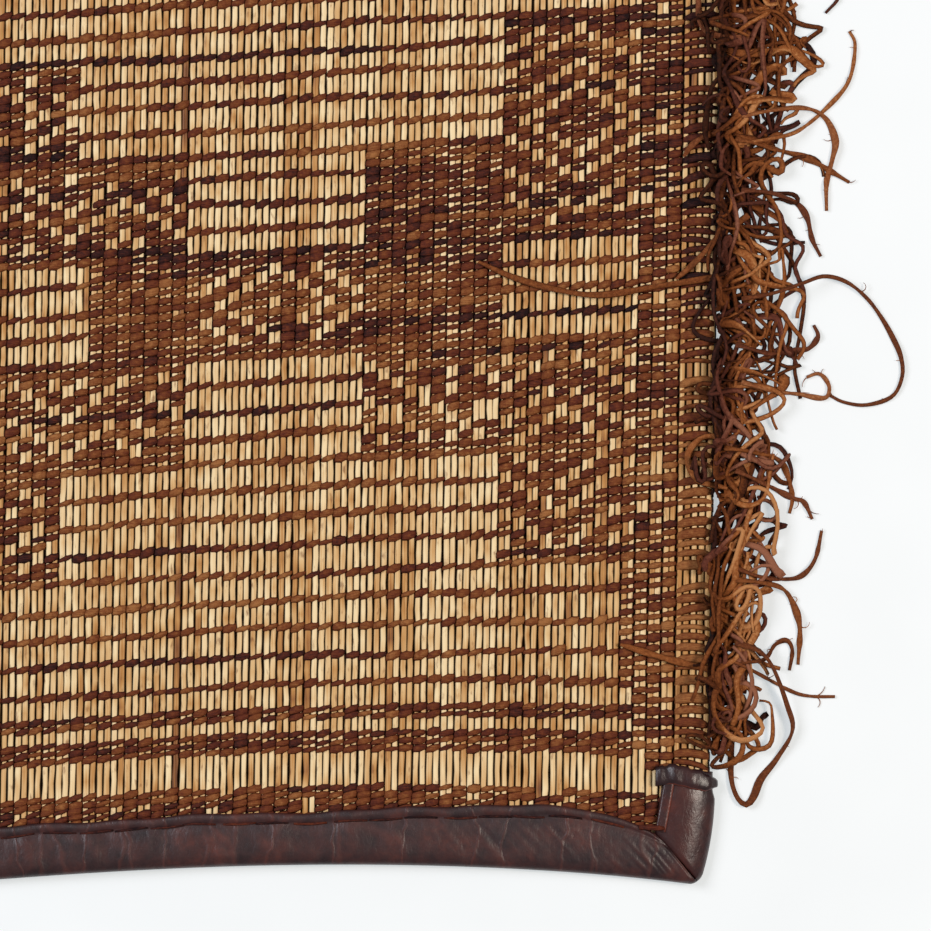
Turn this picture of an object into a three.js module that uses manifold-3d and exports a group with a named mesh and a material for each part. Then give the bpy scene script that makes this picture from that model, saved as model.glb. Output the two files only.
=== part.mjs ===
// Floor mat of grass stems and leather thongs, lying flat.
// Millimetres: +X along the thong rows, +Y along the stems, +Z up from the floor.
// Each piece is laid out straight, u along the rows and v along the stems from the mat's middle,
// and is then drawn out of true, because a hand-worked mat lies a little askew.
import * as THREE from 'three';
import Module from 'manifold-3d';

// Outline
const HALF_WIDTH = 257.4; // to the outside of the leather corners
const HALF_LENGTH = 203; // to the outside of the leather end strips
const CORNER_RADIUS = 4;
const CORNER_TAPER = 5; // the sides draw in on the way to an end strip
const TAPER_LENGTH = 30;
const LEAN = 0.015; // the stems lean a little to the right
const ROW_SLOPE = 0.058; // the rows climb to the right, less so near the ends
const END_BOW = 4.5; // each end strip bows in and out along its length
const CORNER_DROP = 5; // and drops away at its outer corner

// Weave
const STEM_PITCH = 2.4;
const PAIR_PITCH = 2 * STEM_PITCH; // a thong binds the stems two by two
const PAIRS = 101;
const FIELD_HALF_WIDTH = (PAIRS * PAIR_PITCH) / 2;
const STEM_TOP = 3.1;
const ROW_TOP = 3.7;
const MOTIF_TOP = 3.9;
const ROW_PITCH = 8.8;
const ROW_SPREAD = 0.045; // the rows open out towards the bottom
const ROW_ZERO = 12.7; // v of row 0, the top of the motif's middle bar
const ROW_HALF = 1.3;
const BLOCK_RAMP = 0.7;

// Edges
const GAP = 0.3;
const LEATHER = 1;
const EDGE_LIFT = LEATHER + GAP; // the mat rises onto the leather folded under it
const EDGE_TOP = EDGE_LIFT + MOTIF_TOP + GAP; // underside of the upper flap
const FOLD_ROOM = 2.6; // from the outside of a fold to the end of the stems
const END_DEPTH = 15; // an end strip's flap at the mitre
const FLAP_REACH = 3.2;
const FLAP_WIDER = 3.2;
const CORNER_DEPTH = 20.8; // a corner piece's flap
const CORNER_LENGTH = 37;
const HEM = 4.5;
const HEM_RISE = 0.5;
const CUFF = 6.6;
const CUFF_RISE = 0.9;
const SELVEDGE_OUT = HALF_WIDTH - FOLD_ROOM;

// Fringe
const STRAND_WIDTH = 2.2;
const STRAND_HEIGHT = 0.9;
const STRAND_STEPS = 5;
const LANES = 23;
const LANE_PITCH = 13.5;
const FIRST_LANE = 155;

// Rows with more than one thong, and their half width
const WIDE_ROWS = new Map([
  [-19, 5.5],
  [-17, 4.1],
  [-16, 2.7],
  [17, 2.7],
  [18, 4.1],
  [20, 5.5],
]);
const BARE_ROWS = new Set([-18, 19]); // stems show from one wide row to the next here
const FIRST_ROW = -19;
const LAST_ROW = 20;

// Where leather covers the stems: columns of stem pairs from the middle, rows down from row 0
const MOTIF = [
  { from: -1, to: 6, top: -8, bottom: -4 },
  { from: -1, to: 14, top: -4, bottom: 0 },
  { from: 6, to: 14, top: 0, bottom: 4 },
  { from: -1, to: 14, top: 4, bottom: 8 },
  { from: -1, to: 6, top: 8, bottom: 12 },
  { from: 14, to: 27, top: 0, bottom: 4 },
  { from: 27, to: 37, top: -4, bottom: 8 },
  { from: 37, to: 47, top: -9, bottom: 0 },
  { from: 37, to: 47, top: 4, bottom: 12 },
  { from: 47, to: 51, top: -20, bottom: 21 },
  { from: -1, to: 51, top: -20, bottom: -19 },
  { from: -1, to: 51, top: 20, bottom: 21 },
];
const BLOCK_EDGES = [6, 14, 27, 37, 47];
const SPARE_COLUMNS = [20.5]; // an extra line so that the widest block follows the mat's curve

// Fringe strands: each layer crosses over the one below and comes down to the floor beyond it.
// A path's points are [out from the selvedge, along it from the strand's root].
const FRINGE_LAYERS = [
  { level: 0, lands: [40, 41], path: [[-2.5, 0], [3, -1], [6, -9], [9.5, -19], [10.5, -27]] },
  { level: 1.2, lands: [12.5, 15.5], path: [[-2.5, 0], [4, 2], [10, -2], [13.5, -13], [17, -24]] },
  { level: 2.4, lands: [19.5, 24], path: [[-2.5, 0], [6, 1], [16, -5], [22, -15], [28, -22]] },
];
const LONG_STRANDS = [
  { lane: 4, path: [[30, -4], [43, -6], [44, -20], [37, -38]] },
  { lane: 7, path: [[30, -17], [38, -20], [47, -26]] },
  { lane: 10, path: [[30, -11], [47, -9], [62, -22], [66, -38], [59, -51], [42, -52]] },
  { lane: 17, path: [[29, -16], [34, -14], [38, -7]] },
  { lane: 20, path: [[29, -21], [36, -24], [44, -24]] },
];

const solids = await Module();
solids.setup();

function ramp(value, start, end) {
  return THREE.MathUtils.smoothstep(value, start, end);
}

// Where the point (u, v) of the straight layout lies on the floor.
function lie(u, v) {
  const a = Math.abs(u) - (HALF_WIDTH - CORNER_RADIUS);
  const b = Math.abs(v) - (HALF_LENGTH - CORNER_RADIUS);
  if (a > 0 && b > 0) {
    const round = Math.max(a, b) / Math.hypot(a, b);
    u = Math.sign(u) * (HALF_WIDTH - CORNER_RADIUS + a * round);
    v = Math.sign(v) * (HALF_LENGTH - CORNER_RADIUS + b * round);
  }
  const near = Math.max(0, 1 - (HALF_LENGTH - Math.abs(v)) / TAPER_LENGTH);
  u -= Math.sign(u) * CORNER_TAPER * near ** 2 * ramp(Math.abs(u), HALF_WIDTH - 26, HALF_WIDTH);
  const slope = ROW_SLOPE * (1 - 0.6 * (v / HALF_LENGTH) ** 2);
  const bow = (s) =>
    END_BOW * Math.cos((Math.PI * (s - 100)) / 250) -
    CORNER_DROP * Math.min(1, Math.abs(s) / HALF_WIDTH) ** 6;
  const nearEnd = (t) => ramp(t, 0.4 * HALF_LENGTH, HALF_LENGTH);
  const y = v + slope * u + bow(u) * nearEnd(-v) - bow(-u) * nearEnd(v);
  return [u + LEAN * y, y];
}

function lieDown(geometry) {
  const at = geometry.getAttribute('position');
  for (let i = 0; i < at.count; i += 1) {
    const [x, y] = lie(at.getX(i), at.getY(i));
    at.setXY(i, x, y);
  }
  return geometry;
}

// How far the mat is raised off the floor by the leather folded under its edge.
function lift(u, v) {
  const end = ramp(Math.abs(v), 160, 186);
  const corner = ramp(Math.abs(u), 214, 232) * ramp(Math.abs(v), 157, 164.5);
  return EDGE_LIFT * Math.max(end, corner);
}

// A closed sheet over the lines in u and v. Each v line is {v, under}, and the underside has only
// the lines that say so, because it has no rows to follow.
function closedSheet(uLines, vLines, topAt) {
  const points = [];
  const faces = [];
  const under = vLines.map((line, j) => (line.under ? j : -1)).filter((j) => j >= 0);
  const top = vLines.map((line) => uLines.map((u) => points.push([u, line.v, topAt(u, line)]) - 1));
  const base = under.map((j) =>
    uLines.map((u) => points.push([u, vLines[j].v, lift(u, vLines[j].v)]) - 1),
  );
  const right = uLines.length - 1;
  const far = vLines.length - 1;
  const farBase = under.length - 1;
  for (let i = 0; i < right; i += 1) {
    for (let j = 0; j < far; j += 1) {
      faces.push([top[j][i], top[j][i + 1], top[j + 1][i + 1]]);
      faces.push([top[j][i], top[j + 1][i + 1], top[j + 1][i]]);
    }
    for (let k = 0; k < farBase; k += 1) {
      faces.push([base[k][i], base[k + 1][i + 1], base[k][i + 1]]);
      faces.push([base[k][i], base[k + 1][i], base[k + 1][i + 1]]);
    }
    faces.push([base[0][i], base[0][i + 1], top[0][i + 1]]);
    faces.push([base[0][i], top[0][i + 1], top[0][i]]);
    faces.push([base[farBase][i + 1], base[farBase][i], top[far][i]]);
    faces.push([base[farBase][i + 1], top[far][i], top[far][i + 1]]);
  }
  for (let k = 0; k < farBase; k += 1) {
    faces.push([base[k + 1][0], base[k][0], top[under[k]][0]]);
    faces.push([base[k][right], base[k + 1][right], top[under[k]][right]]);
    for (let j = under[k]; j < under[k + 1]; j += 1) {
      faces.push([base[k + 1][0], top[j][0], top[j + 1][0]]);
      faces.push([base[k + 1][right], top[j + 1][right], top[j][right]]);
    }
  }
  const geometry = new THREE.BufferGeometry();
  geometry.setAttribute('position', new THREE.Float32BufferAttribute(points.flat(), 3));
  geometry.setIndex(faces.flat());
  return geometry;
}

// The woven panel: flat stems, a ridge for each thong row, and the leather motif standing proud.
function reedField() {
  const rowAt = (row) => ROW_ZERO - ROW_PITCH * row - ROW_SPREAD * Math.max(row, 0) ** 2;
  const columnOf = (u) => (Math.abs(u) - PAIR_PITCH / 2) / PAIR_PITCH;
  const covered = (u, row) =>
    MOTIF.some(
      (b) => columnOf(u) >= b.from && columnOf(u) <= b.to && row >= b.top && row <= b.bottom,
    );
  const end = HALF_LENGTH - FOLD_ROOM;
  const vLines = [{ v: -end, row: LAST_ROW + 0.9, under: true }];
  for (let row = LAST_ROW; row >= FIRST_ROW; row -= 1) {
    if (BARE_ROWS.has(row)) continue;
    const v = rowAt(row);
    const half = WIDE_ROWS.get(row) ?? ROW_HALF;
    const under = Math.abs(v) > 140 || row % 5 === 0;
    vLines.push({ v: v - half, row: row + 0.5, under });
    if (WIDE_ROWS.has(row)) {
      vLines.push({ v: v - half + 1, ridge: MOTIF_TOP });
      vLines.push({ v: v + half - 1, ridge: MOTIF_TOP });
    } else {
      vLines.push({ v, row, ridge: ROW_TOP });
    }
    vLines.push({ v: v + half, row: row - 0.5, under: Math.abs(v) > 140 });
  }
  vLines.push({ v: end, row: FIRST_ROW - 0.9, under: true });

  const columns = [...SPARE_COLUMNS.map((column) => (column + 0.5) * PAIR_PITCH), FIELD_HALF_WIDTH];
  for (const edge of BLOCK_EDGES) {
    const u = (edge + 0.5) * PAIR_PITCH;
    columns.push(u - BLOCK_RAMP, u + BLOCK_RAMP);
  }
  columns.sort((a, b) => a - b);
  const uLines = [...columns.map((u) => -u).reverse(), 0, ...columns];

  const topAt = (u, line) => {
    const bare = line.ridge ?? STEM_TOP;
    const height = line.row !== undefined && covered(u, line.row) ? MOTIF_TOP : bare;
    return height + lift(u, line.v);
  };
  return lieDown(closedSheet(uLines, vLines, topAt));
}

// A leather strip folded round an edge. The profile is in depth in from the edge and height.
function foldProfile(depth, hemmed) {
  const top = EDGE_TOP + LEATHER;
  const shape = new THREE.Shape();
  shape.moveTo(depth, 0);
  shape.lineTo(depth, LEATHER);
  shape.lineTo(FOLD_ROOM, LEATHER);
  shape.lineTo(1.3, 1.9);
  shape.lineTo(LEATHER, top / 2);
  shape.lineTo(1.3, top - 1.9);
  shape.lineTo(FOLD_ROOM, EDGE_TOP);
  shape.lineTo(depth, EDGE_TOP);
  if (hemmed) {
    shape.lineTo(depth, top + HEM_RISE);
    shape.lineTo(depth - HEM, top + HEM_RISE);
    shape.lineTo(depth - HEM - 0.4, top);
  } else {
    shape.lineTo(depth, top);
  }
  shape.lineTo(2.4, top);
  shape.lineTo(0.6, top - 1.3);
  shape.lineTo(0, top / 2);
  shape.lineTo(0.6, 1.3);
  shape.lineTo(2.4, 0);
  shape.closePath();
  return shape;
}

// How far the upper flap reaches in past the depth of the mitre. It is wider towards the corners.
function flapReach(along) {
  const aside = Math.abs(along);
  return (FLAP_REACH + FLAP_WIDER * ramp(aside, 0.5, 0.85)) * (1 - aside ** 30);
}

// The end strip at the bottom, its ends cut on the mitre of the corners.
function endStrip() {
  const steps = 30;
  const geometry = new THREE.ExtrudeGeometry(foldProfile(END_DEPTH, false), {
    depth: 1,
    steps,
    bevelEnabled: false,
  });
  const at = geometry.getAttribute('position');
  for (let i = 0; i < at.count; i += 1) {
    const along = Math.sin(Math.PI * (at.getZ(i) - 0.5)); // closer together towards the corners
    const inner = at.getY(i) > EDGE_TOP - 0.1 && at.getX(i) > END_DEPTH - 0.1;
    const outer = at.getY(i) > EDGE_TOP + 0.9;
    const depth = at.getX(i) + (inner ? flapReach(along) : 0);
    const half = HALF_WIDTH - (depth * CORNER_DEPTH) / END_DEPTH - 0.27;
    const crease = outer ? 0.2 * Math.sin(61 * along) + 0.12 * Math.sin(37 * along + 2) : 0;
    at.setXYZ(i, half * along, depth - HALF_LENGTH, at.getY(i) + crease);
  }
  return lieDown(geometry);
}

// A corner piece at the bottom, from the mitre up to its cuff, on the right side (1) or the left (-1).
function cornerPiece(side) {
  const cuffStart = 1 - CUFF / CORNER_LENGTH;
  const stations = [0, 0.3, 0.6, cuffStart - 0.03, cuffStart, 1];
  const geometry = new THREE.ExtrudeGeometry(foldProfile(CORNER_DEPTH, true), {
    depth: 1,
    steps: stations.length - 1,
    bevelEnabled: false,
  });
  const at = geometry.getAttribute('position');
  const top = EDGE_TOP + LEATHER;
  for (let i = 0; i < at.count; i += 1) {
    const along = side > 0 ? at.getZ(i) : 1 - at.getZ(i);
    const station = stations[Math.round(along * (stations.length - 1))];
    const depth = at.getX(i);
    const mitre = (depth * END_DEPTH) / CORNER_DEPTH + 0.2;
    const cuffed = station >= cuffStart;
    const face = at.getY(i) > top - 0.1;
    const fold = depth < 0.9 && at.getY(i) > 1;
    const level = cuffed && face ? top + CUFF_RISE : at.getY(i);
    const bulge = cuffed && fold ? 0.7 : 0;
    const v = THREE.MathUtils.lerp(mitre, CORNER_LENGTH, station);
    at.setXYZ(i, side * (HALF_WIDTH - depth + bulge), v - HALF_LENGTH, level);
  }
  return lieDown(geometry);
}

function solidOf(geometry) {
  const at = geometry.getAttribute('position');
  const index = geometry.index ? geometry.index.array : [...Array(at.count).keys()];
  const seen = new Map();
  const points = [];
  const triVerts = Uint32Array.from(index, (i) => {
    const point = [at.getX(i), at.getY(i), at.getZ(i)];
    const key = point.map((value) => value.toFixed(4)).join();
    if (!seen.has(key)) {
      seen.set(key, seen.size);
      points.push(...point);
    }
    return seen.get(key);
  });
  const vertProperties = new Float32Array(points);
  return new solids.Manifold(new solids.Mesh({ numProp: 3, vertProperties, triVerts }));
}

function geometryOf(solid) {
  const mesh = solid.getMesh();
  const geometry = new THREE.BufferGeometry();
  geometry.setAttribute('position', new THREE.Float32BufferAttribute(mesh.vertProperties, 3));
  geometry.setIndex([...mesh.triVerts]);
  return geometry;
}

// The wrapped bundle of stems down the right side.
function selvedge() {
  const end = HALF_LENGTH - FOLD_ROOM - 1;
  const uLines = [FIELD_HALF_WIDTH + GAP, FIELD_HALF_WIDTH + 6, SELVEDGE_OUT];
  const wraps = 16;
  const wrapPitch = (2 * 152) / wraps;
  const vLines = [-end, -186, -175, -164.5, -161, -157].map((v) => ({ v, top: MOTIF_TOP, under: true }));
  for (let wrap = 0; wrap < wraps; wrap += 1) {
    const v = -152 + wrapPitch * wrap;
    vLines.push({ v, top: MOTIF_TOP, under: wrap % 4 === 0 });
    vLines.push({ v: v + 1, top: MOTIF_TOP - 0.5 });
    vLines.push({ v: v + 6, top: MOTIF_TOP - 0.5 });
    vLines.push({ v: v + 7, top: MOTIF_TOP });
  }
  for (const v of [157, 161, 164.5, 175, 186, end]) vLines.push({ v, top: MOTIF_TOP, under: true });
  const topAt = (u, line) => {
    const edge = u === uLines[0] || u === SELVEDGE_OUT ? 0.1 : 0;
    return line.top - edge + lift(u, line.v);
  };
  return lieDown(closedSheet(uLines, vLines, topAt));
}

// One fringe strand, lying flat along its path and stepping over the layers below.
function strand(path, root, layer, sway) {
  const points = path.map(([out, along]) => {
    const grown = out > 4 ? out * (1 + 0.04 * sway) : out;
    return new THREE.Vector3(SELVEDGE_OUT + grown, root + along * (1 + 0.07 * sway), 0);
  });
  const section = new THREE.Shape();
  section.moveTo(0, STRAND_WIDTH / 2);
  section.lineTo(0, -STRAND_WIDTH / 2);
  section.lineTo(-STRAND_HEIGHT, 0);
  section.closePath();
  const geometry = new THREE.ExtrudeGeometry(section, {
    steps: STRAND_STEPS + 2 * (path.length - 5),
    bevelEnabled: false,
    extrudePath: new THREE.CatmullRomCurve3(points),
  });
  const at = geometry.getAttribute('position');
  for (let i = 0; i < at.count; i += 1) {
    const out = at.getX(i) - SELVEDGE_OUT;
    const [start, end] = layer.lands;
    const drop = THREE.MathUtils.clamp((out - start) / (end - start), 0, 1);
    at.setZ(i, at.getZ(i) + layer.level * (1 - drop));
  }
  return lieDown(geometry);
}

function fringe() {
  const pieces = [solidOf(selvedge())];
  FRINGE_LAYERS.forEach((layer, order) => {
    const last = order === FRINGE_LAYERS.length - 1;
    for (let lane = 0; lane < LANES; lane += 1) {
      const long = last ? LONG_STRANDS.find((row) => row.lane === lane) : undefined;
      const crowded = last && LONG_STRANDS.some((row) => row.lane === lane + 1);
      if (crowded) continue;
      const root = FIRST_LANE - LANE_PITCH * (lane + order / FRINGE_LAYERS.length);
      const path = long ? [...layer.path.slice(0, 3), ...long.path] : layer.path;
      const sway = long ? 0 : Math.sin(1.1 * lane + 2 * order);
      pieces.push(solidOf(strand(path, root, layer, sway)));
    }
  });
  return geometryOf(solids.Manifold.union(pieces));
}

const stems = { color: '#d3ae6c', roughness: 0.6, metalness: 0 };
const thongs = { color: '#7a4a2e', roughness: 0.85, metalness: 0 };
const hide = { color: '#4a2c2a', roughness: 0.5, metalness: 0 };

function piece(name, geometry, finish) {
  const mesh = new THREE.Mesh(geometry, new THREE.MeshStandardMaterial(finish));
  mesh.name = name;
  return mesh;
}

// The far side and the far end are the near ones turned half round.
function turned(mesh) {
  mesh.rotation.z = Math.PI;
  return mesh;
}

const mat = new THREE.Group();
mat.add(piece('reed_field', reedField(), stems));
mat.add(piece('binding_bottom', endStrip(), hide));
mat.add(turned(piece('binding_top', endStrip(), hide)));
mat.add(piece('fringe_right', fringe(), thongs));
mat.add(turned(piece('fringe_left', fringe(), thongs)));
mat.add(piece('corner_right_bottom', cornerPiece(1), hide));
mat.add(piece('corner_left_bottom', cornerPiece(-1), hide));
mat.add(turned(piece('corner_left_top', cornerPiece(1), hide)));
mat.add(turned(piece('corner_right_top', cornerPiece(-1), hide)));

export default mat;
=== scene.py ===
import math

import bmesh
import bpy
import numpy as np
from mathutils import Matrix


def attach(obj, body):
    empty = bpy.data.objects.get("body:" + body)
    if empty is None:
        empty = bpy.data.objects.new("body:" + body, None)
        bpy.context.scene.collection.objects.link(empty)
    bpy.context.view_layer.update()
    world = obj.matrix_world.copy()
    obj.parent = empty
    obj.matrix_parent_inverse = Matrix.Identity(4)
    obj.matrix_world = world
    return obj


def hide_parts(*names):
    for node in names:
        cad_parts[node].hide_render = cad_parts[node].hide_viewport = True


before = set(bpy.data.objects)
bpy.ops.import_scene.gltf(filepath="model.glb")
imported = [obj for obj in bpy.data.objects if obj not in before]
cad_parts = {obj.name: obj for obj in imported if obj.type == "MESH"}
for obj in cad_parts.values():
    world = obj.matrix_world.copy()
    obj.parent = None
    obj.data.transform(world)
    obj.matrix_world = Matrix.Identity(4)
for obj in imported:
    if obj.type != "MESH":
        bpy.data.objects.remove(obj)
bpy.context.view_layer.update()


# Stems. Straws of a hard desert grass, cut to one length and laid side by side across the mat.
# Only the thongs hold them: they take the stems two by two and draw each pair together at a row.
MM = 0.001
HALF_WIDTH = 257.4  # to the outside of the leather corners
HALF_LENGTH = 203  # to the outside of the leather end strips
CORNER_RADIUS = 4
CORNER_TAPER = 5  # the sides draw in on the way to an end strip
TAPER_LENGTH = 30
LEAN = 0.015  # the stems lean a little to the right
ROW_SLOPE = 0.058  # the rows climb to the right, less so near the ends
END_BOW = 4.5  # each end bows in and out along its length
CORNER_DROP = 5  # and drops away at its outer corner
EDGE_LIFT = 1.3  # the mat rises onto the leather folded under its edge
LIFT_AT_END = (160, 186)  # where it starts and stops rising, from the mat's middle
LIFT_AT_SIDE = (214, 232)
LIFT_AT_CORNER = (157, 164.5)
ROW_ZERO = 12.7  # from the mat's middle to row 0, the top of the motif's middle bar
ROW_PITCH = 8.8
ROW_SPREAD = 0.045  # the rows open out towards the bottom
PAIRS = 101
PAIR_PITCH = 4.8
STEM_PITCH = PAIR_PITCH / 2
STEM_END = 200.4
STEM_BASE = 0.9
STEM_TOP = 3.1
STEM_WIDTH = 1.9
STEM_WOBBLE = 0.09  # no stem is quite straight
PINCH_AT_ROW = 0.09  # a thong draws the stems of a pair together
PINCH_BETWEEN = 0.02
PINCH_IN_MOTIF = 0.15
SWELL_AT_ROW = 0.93
SWELL_BETWEEN = 1.03
FIELD_AGE = 0.06  # how far the stems have browned
STEM_SECTION = [(-0.8, 0.5), (0, 0.35), (0.8, 0.5), (0.365, 1), (-0.365, 1)]  # splayed below
# Where leather fills the rows: columns of pairs from the middle, and rows down from row 0
MOTIF = [
    {"from": 0, "to": 6, "top": -8, "bottom": -4, "figure": "diamonds", "middle": 0},
    {"from": 0, "to": 14, "top": -4, "bottom": 0, "figure": "waves", "middle": 6},
    {"from": 8, "to": 14, "top": 0, "bottom": 4, "figure": "solid", "middle": 11},
    {"from": 0, "to": 14, "top": 4, "bottom": 8, "figure": "waves", "middle": 6},
    {"from": 0, "to": 5, "top": 8, "bottom": 12, "figure": "diamonds", "middle": 0},
    {"from": 15, "to": 27, "top": 0, "bottom": 4, "figure": "diamonds", "middle": 21},
    {"from": 28, "to": 37, "top": -4, "bottom": 4, "figure": "solid", "middle": 32},
    {"from": 28, "to": 37, "top": 4, "bottom": 8, "figure": "steps", "middle": 32},
    {"from": 38, "to": 47, "top": -9, "bottom": 0, "figure": "diamonds", "middle": 43},
    {"from": 38, "to": 47, "top": 4, "bottom": 12, "figure": "diamonds", "middle": 42},
]
BORDER = [
    {"from": 48, "to": 48, "top": -17.5, "bottom": 18},
    {"from": 49, "to": 50, "top": -18.75, "bottom": 18.75},
    {"from": 47, "to": 47, "top": 12.25, "bottom": 16},
]


def ramp(value, start, end):
    """A smooth step from 0 at start to 1 at end."""
    share = np.clip((value - start) / (end - start), 0, 1)
    return share * share * (3 - 2 * share)


def bow(u):
    drop = CORNER_DROP * np.minimum(1, np.abs(u) / HALF_WIDTH) ** 6
    return END_BOW * np.cos(math.pi * (u - 100) / 250) - drop


def laid(u, v, z):
    """Points of the mat's straight layout where they lie on the floor, in millimetres."""
    a = np.abs(u) - (HALF_WIDTH - CORNER_RADIUS)
    b = np.abs(v) - (HALF_LENGTH - CORNER_RADIUS)
    corner = (a > 0) & (b > 0)
    turn = np.where(corner, np.maximum(a, b) / np.maximum(np.hypot(a, b), 0.001), 1)
    u = np.where(corner, np.sign(u) * (HALF_WIDTH - CORNER_RADIUS + a * turn), u)
    v = np.where(corner, np.sign(v) * (HALF_LENGTH - CORNER_RADIUS + b * turn), v)
    near = np.maximum(0, 1 - (HALF_LENGTH - np.abs(v)) / TAPER_LENGTH)
    u = u - np.sign(u) * CORNER_TAPER * near ** 2 * ramp(np.abs(u), HALF_WIDTH - 26, HALF_WIDTH)
    slope = ROW_SLOPE * (1 - 0.6 * (v / HALF_LENGTH) ** 2)
    low = bow(u) * ramp(-v, 0.4 * HALF_LENGTH, HALF_LENGTH)
    high = bow(-u) * ramp(v, 0.4 * HALF_LENGTH, HALF_LENGTH)
    y = v + slope * u + low - high
    return np.stack(np.broadcast_arrays(u + LEAN * y, y, z), axis=-1)


def lift(u, v):
    """How far the mat is raised off the floor, in millimetres."""
    end = ramp(np.abs(v), *LIFT_AT_END)
    corner = ramp(np.abs(u), *LIFT_AT_SIDE) * ramp(np.abs(v), *LIFT_AT_CORNER)
    return EDGE_LIFT * np.maximum(end, corner)


def row_at(row):
    return ROW_ZERO - ROW_PITCH * row - ROW_SPREAD * np.maximum(row, 0) ** 2


def drawn_out(section, rings):
    """A closed bar along +Y with its section in X and Z, and a ring of points at each whole number."""
    bar = bmesh.new()
    edges = bar.faces.new([bar.verts.new((x, 0, z)) for x, z in section]).edges[:]
    for _ in range(rings - 1):
        grown = bmesh.ops.extrude_edge_only(bar, edges=edges)["geom"]
        ring = [part for part in grown if isinstance(part, bmesh.types.BMVert)]
        bmesh.ops.translate(bar, verts=ring, vec=(0, 1, 0))
        edges = [part for part in grown if isinstance(part, bmesh.types.BMEdge)]
    bmesh.ops.edgeloop_fill(bar, edges=edges)
    bmesh.ops.recalc_face_normals(bar, faces=bar.faces[:])
    return bar


def points_of(shape):
    shape.verts.index_update()
    return np.array([v.co for v in shape.verts])


def joined(name, shape, places, finish, **marks):
    """One object of many copies of a small shape. places has each copy's points in millimetres, and a
    mark is a number that the finish reads, one for each copy or one for each point."""
    step = len(shape.verts)
    corners = [[v.index for v in face.verts] for face in shape.faces]
    fans = [(face[0], face[i], face[i + 1]) for face in corners for i in range(1, len(face) - 1)]
    p, q, r = places[0][np.array(fans)].transpose(1, 0, 2)
    if np.sum(p * np.cross(q, r)) < 0:
        corners = [face[::-1] for face in corners]
    faces = [[i + step * n for i in face] for n in range(len(places)) for face in corners]
    mesh = bpy.data.meshes.new(name)
    mesh.from_pydata((places.reshape(-1, 3) * MM).tolist(), [], faces)
    for mark, values in marks.items():
        layer = mesh.attributes.new(mark, "FLOAT", "POINT")
        values = np.asarray(values, dtype=np.float32)
        spread = values if values.size == step * len(places) else np.repeat(values, step)
        layer.data.foreach_set("value", spread.ravel())
    mesh.shade_smooth()
    mesh.materials.append(finish)
    obj = bpy.data.objects.new(name, mesh)
    bpy.context.collection.objects.link(obj)
    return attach(obj, "root")


def linear(colour):
    """An sRGB hex colour as linear red, green, blue and alpha."""
    channels = [int(colour[i:i + 2], 16) / 255 for i in (1, 3, 5)]
    return [c / 12.92 if c <= 0.04045 else ((c + 0.055) / 1.055) ** 2.4 for c in channels] + [1]


def add_node(tree, kind, inputs=(), stops=(), **settings):
    """A new node with its settings, its inputs set or linked, and a colour ramp's stops."""
    node = tree.nodes.new("ShaderNode" + kind)
    for name, value in settings.items():
        setattr(node, name, value)
    for socket, value in dict(inputs).items():
        if isinstance(value, bpy.types.NodeSocket):
            tree.links.new(value, node.inputs[socket])
        else:
            node.inputs[socket].default_value = value
    for number, (position, colour) in enumerate(stops):
        line = node.color_ramp.elements
        stop = line[number] if number < 2 else line.new(position)
        stop.position = position
        stop.color = linear(colour)
    return node


def straw():
    """Dry grass straw: a hard, slightly waxy skin in cream and gold, streaked along its fibres and
    stained brown in places, with painted shade, near black, down its sides towards the gaps between stems."""
    finish = bpy.data.materials.new("dry_grass_straw")
    finish.use_nodes = True
    tree = finish.node_tree
    skin = tree.nodes["Principled BSDF"]
    place = add_node(tree, "TexCoord").outputs["Object"]
    along = {"Vector": place, "Scale": (1 / (0.4 * MM), 1 / (18 * MM), 1 / (1.5 * MM))}
    fibres = add_node(tree, "Mapping", along).outputs["Vector"]
    streak = add_node(tree, "TexNoise", {"Vector": fibres, "Scale": 1, "Detail": 3}).outputs["Fac"]
    blotch = {"Vector": place, "Scale": (1 / (1.6 * MM), 1 / (5 * MM), 1 / (4 * MM))}
    patches = add_node(tree, "Mapping", blotch).outputs["Vector"]
    stain = add_node(tree, "TexNoise", {"Vector": patches, "Scale": 1, "Detail": 4}).outputs["Fac"]
    tone = add_node(tree, "Attribute", attribute_name="tone").outputs["Fac"]
    varied = add_node(tree, "Math", {0: streak, 1: 0.7, 2: -0.35}, operation="MULTIPLY_ADD").outputs[0]
    shade = add_node(tree, "Math", {0: tone, 1: varied}, operation="ADD").outputs[0]
    gold = add_node(tree, "ValToRGB", {0: shade}, stops=[
        (0, "#f4dbab"), (0.38, "#dab178"), (0.62, "#bd8748"), (0.85, "#96602f"), (1, "#6a3c18"),
    ]).outputs["Color"]
    stained = {"Value": stain, "From Min": 0.6, "From Max": 0.74, "To Max": 0.7}
    amount = add_node(tree, "MapRange", stained).outputs["Result"]
    brown = linear("#7c4a22")
    marked = add_node(tree, "Mix", {0: amount, 6: gold, 7: brown}, data_type="RGBA").outputs[2]
    # Painted shade: low on a stem's crown mark, down its sides, the colour goes near black for the shade in
    # the gaps between stems.
    crown = add_node(tree, "Attribute", attribute_name="crown").outputs["Fac"]
    deep = {"Value": crown, "From Min": 0.8, "From Max": 0.98, "To Min": 0.99, "To Max": 0}
    depth = add_node(tree, "MapRange", deep).outputs["Result"]
    painted_gap_shade = linear("#100602")
    gap_shaded = add_node(tree, "Mix", {0: depth, 6: marked, 7: painted_gap_shade}, data_type="RGBA").outputs[2]
    tree.links.new(gap_shaded, skin.inputs["Base Color"])
    ribs = {"Height": streak, "Strength": 0.35, "Distance": 0.15 * MM}
    tree.links.new(add_node(tree, "Bump", ribs).outputs["Normal"], skin.inputs["Normal"])
    waxy = {"Value": crown, "From Min": 0.6, "From Max": 1, "To Min": 0, "To Max": 0.28}
    tree.links.new(add_node(tree, "MapRange", waxy).outputs["Result"], skin.inputs["Specular IOR Level"])
    skin.inputs["Roughness"].default_value = 0.5
    return finish


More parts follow.
